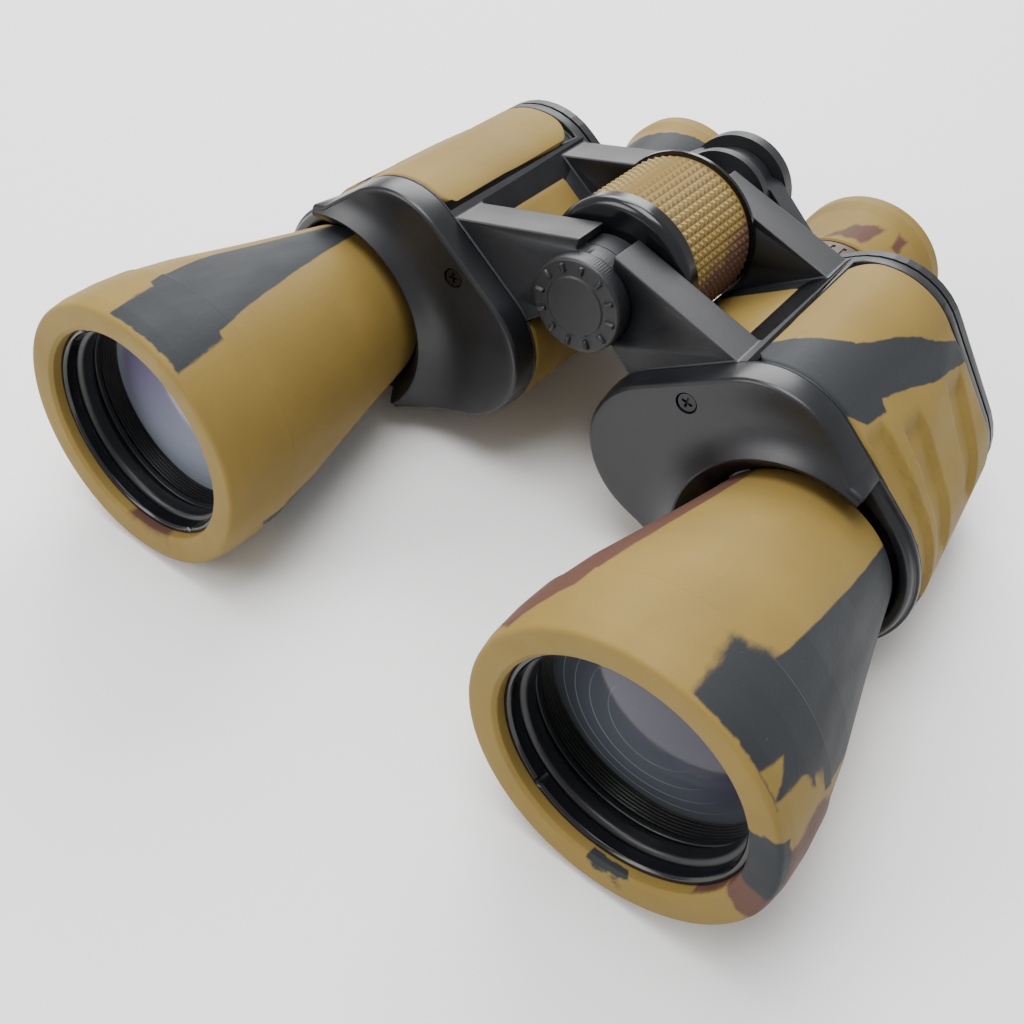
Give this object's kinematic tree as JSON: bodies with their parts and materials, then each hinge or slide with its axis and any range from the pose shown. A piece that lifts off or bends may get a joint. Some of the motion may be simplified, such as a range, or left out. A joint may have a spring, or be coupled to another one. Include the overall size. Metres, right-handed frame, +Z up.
{
  "type": "porro prism binoculars",
  "caption": "Full size centre focus Porro prism binoculars with flared rubber armoured barrels, camouflage rubber, knurled focus wheel and a hinged bridge.",
  "frame": {"origin": "centre of the bounding box at its bottom, which is where the two rubber lips stand", "axes": "+Y from the objectives to the eyepieces, parallel to the hinge, +Z up, +X towards the half with the dioptre ring"},
  "size_m": [0.1886, 0.18, 0.0826],
  "materials": {
    "case_plastic": "fine satin moulded black",
    "cover_plastic": "smooth satin moulded black",
    "gloss_black": "polished black",
    "inner_black": "ribbed dull black",
    "camo_rubber": "tan rubber with slate grey and brown camouflage patches",
    "grip_rubber": "tan rubber with a diamond knurl",
    "eyecup_rubber": "soft tan rubber with dark patches",
    "dioptre_rubber": "ribbed dark brown rubber",
    "coated_glass": "polished glass with a violet coating",
    "optical_glass": "polished clear glass",
    "steel": "turned steel",
    "brass": "turned brass",
    "screw_black": "blackened steel"
  },
  "bodies": {
    "left_half": {"left_housing": "case_plastic", "left_front_cover": "cover_plastic", "left_rear_cover": "case_plastic", "left_front_screw": "screw_black", "left_rear_screws": "screw_black", "left_body_armor": "camo_rubber", "left_barrel": "inner_black", "left_barrel_armor": "camo_rubber", "left_lens_cell": "inner_black", "left_retaining_ring": "gloss_black", "left_objective_crown": "coated_glass", "left_objective_flint": "optical_glass", "left_front_prism": "optical_glass", "left_rear_prism": "optical_glass", "left_prism_shelf": "steel", "left_prism_clips": "steel", "left_eyepiece_guide": "inner_black", "hinge_shaft": "steel", "socket_insert": "brass", "thrust_washer": "steel"},
    "right_half": {"right_housing": "case_plastic", "right_front_cover": "cover_plastic", "right_rear_cover": "case_plastic", "right_front_screw": "screw_black", "right_rear_screws": "screw_black", "right_body_armor": "camo_rubber", "right_barrel": "inner_black", "right_barrel_armor": "camo_rubber", "right_lens_cell": "inner_black", "right_retaining_ring": "gloss_black", "right_objective_crown": "coated_glass", "right_objective_flint": "optical_glass", "right_front_prism": "optical_glass", "right_rear_prism": "optical_glass", "right_prism_shelf": "steel", "right_prism_clips": "steel", "right_eyepiece_guide": "inner_black"},
    "focus_wheel": {"wheel_core": "gloss_black", "wheel_grip": "grip_rubber", "wheel_nut": "brass", "wheel_rear_rim": "gloss_black"},
    "bridge_left": {"bridge_left": "case_plastic", "focus_screw": "steel", "hub_cap": "case_plastic", "left_eyepiece_tube": "inner_black", "left_field_lens": "optical_glass", "left_eye_lens": "coated_glass", "left_eyecup": "eyecup_rubber"},
    "bridge_right": {"bridge_right": "case_plastic", "right_eyepiece_tube": "inner_black", "right_field_lens": "optical_glass"},
    "diopter_ring": {"diopter_ring": "dioptre_rubber"},
    "diopter_cell": {"diopter_cell": "inner_black", "right_eye_lens": "coated_glass", "right_eyecup": "eyecup_rubber"},
    "socket_cap": {"socket_cap": "case_plastic"}
  },
  "joints": [
    {"name": "interpupillary", "type": "hinge", "parent": "left_half", "child": "right_half", "pos_m": [0, 0, 0.06386], "axis": [0, -1, 0], "range_deg": [-10, 34]},
    {"name": "focus_turn", "type": "hinge", "parent": "left_half", "child": "focus_wheel", "pos_m": [0, 0, 0.06386], "axis": [0, 1, 0], "range_deg": [-60, 240]},
    {"name": "bridge_left_slide", "type": "slide", "parent": "left_half", "child": "bridge_left", "axis": [0, 1, 0], "range_m": [-0.00201, 0.00801]},
    {"name": "bridge_right_slide", "type": "slide", "parent": "right_half", "child": "bridge_right", "axis": [0, 1, 0], "range_m": [-0.00201, 0.00801]},
    {"name": "diopter_turn", "type": "hinge", "parent": "bridge_right", "child": "diopter_ring", "pos_m": [0.02902, 0, 0.03828], "axis": [0, 1, 0], "range_deg": [-60, 60]},
    {"name": "diopter_slide", "type": "slide", "parent": "bridge_right", "child": "diopter_cell", "axis": [0, 1, 0], "range_m": [-0.00121, 0.00121]},
    {"name": "socket_cap_off", "type": "slide", "parent": "left_half", "child": "socket_cap", "axis": [0, -1, 0], "range_m": [0, 0.03]}
  ],
  "couplings": [
    {"joint": "bridge_left_slide", "follows": "focus_turn", "m_per_rad": 0.0019099},
    {"joint": "bridge_right_slide", "follows": "focus_turn", "m_per_rad": 0.0019099},
    {"joint": "diopter_slide", "follows": "diopter_turn", "m_per_rad": 0.0011459}
  ]
}
